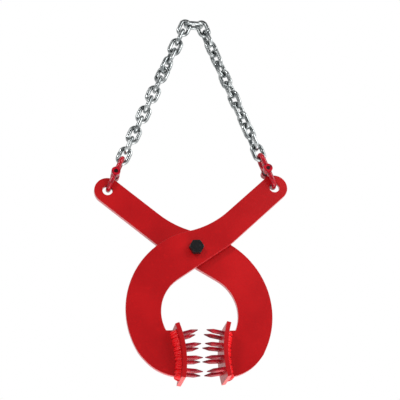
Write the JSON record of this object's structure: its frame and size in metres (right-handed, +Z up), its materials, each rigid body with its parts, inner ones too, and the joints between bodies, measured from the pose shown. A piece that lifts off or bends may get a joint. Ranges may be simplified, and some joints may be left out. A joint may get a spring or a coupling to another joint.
{
  "type": "scissor lifting tongs",
  "caption": "Scissor lifting tongs: crossed claw arms on a pivot bolt, curved spiked jaw plates, and a chain sling that closes the jaws when it is lifted.",
  "frame": {"origin": "where a hook carries the sling: under the middle of the top link, between its two side bars", "axes": "the tongs hang as in use: +Z up, +Y away from the side with the bolt head, so the front faces -Y, and +X to the right seen from the front"},
  "size_m": [0.3656, 0.07, 0.7589],
  "materials": {
    "red_paint": "glossy signal red enamel over laser-cut steel plate",
    "crimson_paint": "glossy crimson enamel over forged steel",
    "spike_steel": "red enamel over turned steel, worn dark at the points",
    "pin_steel": "dark oiled steel",
    "black_steel": "black oxide",
    "zinc": "bright zinc plating",
    "nylon": "nylon"
  },
  "bodies": {
    "top_link": {"top_link": "zinc"},
    "left_first_link": {"left_link_01": "zinc"},
    "left_chain": {"left_link_02": "zinc", "left_link_03": "zinc", "left_link_04": "zinc", "left_link_05": "zinc", "left_link_06": "zinc", "left_link_07": "zinc", "left_link_08": "zinc", "left_link_09": "zinc", "left_link_10": "zinc", "left_link_11": "zinc", "left_link_12": "zinc", "left_link_13": "zinc", "left_link_14": "zinc", "left_upper_bow": "crimson_paint", "left_load_pin": "pin_steel", "left_sleeve": "pin_steel", "left_lower_bow": "crimson_paint"},
    "rear_arm": {"rear_arm": "red_paint", "right_jaw_plate": "red_paint", "right_jaw_welds": "red_paint", "right_jaw_spikes": "spike_steel", "pivot_bolt": "black_steel", "pivot_spacer": "zinc", "pivot_washer": "zinc", "lock_nut": "zinc", "lock_nut_insert": "nylon"},
    "front_arm": {"front_arm": "red_paint", "left_jaw_plate": "red_paint", "left_jaw_welds": "red_paint", "left_jaw_spikes": "spike_steel"},
    "right_first_link": {"right_link_01": "zinc"},
    "right_chain": {"right_link_02": "zinc", "right_link_03": "zinc", "right_link_04": "zinc", "right_link_05": "zinc", "right_link_06": "zinc", "right_link_07": "zinc", "right_link_08": "zinc", "right_link_09": "zinc", "right_link_10": "zinc", "right_link_11": "zinc", "right_link_12": "zinc", "right_link_13": "zinc", "right_upper_bow": "crimson_paint", "right_load_pin": "pin_steel", "right_sleeve": "pin_steel", "right_lower_bow": "crimson_paint"}
  },
  "joints": [
    {"name": "left_sway", "type": "hinge", "parent": "top_link", "child": "left_first_link", "pos_m": [0, 0, 0.004], "axis": [1, 0, 0], "range_deg": [-16, 16]},
    {"name": "left_spread", "type": "hinge", "parent": "left_first_link", "child": "left_chain", "pos_m": [-0.02179, 0.00022, -0.00994], "axis": [0, 1, 0], "range_deg": [-1, 7]},
    {"name": "left_eye", "type": "hinge", "parent": "left_chain", "child": "rear_arm", "pos_m": [-0.16578, 0.00571, -0.35651], "axis": [0, 1, 0], "range_deg": [-29, 2]},
    {"name": "jaw_opening", "type": "hinge", "parent": "rear_arm", "child": "front_arm", "pos_m": [-0.00337, 0, -0.47161], "axis": [0, 1, 0], "range_deg": [0, 38]},
    {"name": "right_sway", "type": "hinge", "parent": "top_link", "child": "right_first_link", "pos_m": [0, 0, 0.004], "axis": [1, 0, 0], "range_deg": [-16, 16]},
    {"name": "right_spread", "type": "hinge", "parent": "right_first_link", "child": "right_chain", "pos_m": [0.02135, -0.00023, -0.01004], "axis": [0, 1, 0], "range_deg": [-8, 1]}
  ],
  "couplings": [
    {"joint": "left_spread", "follows": "jaw_opening", "ratio": 0.1357},
    {"joint": "left_eye", "follows": "jaw_opening", "ratio": -0.6401},
    {"joint": "right_spread", "follows": "jaw_opening", "ratio": -0.1691},
    {"joint": "right_sway", "follows": "left_sway", "ratio": 1}
  ]
}
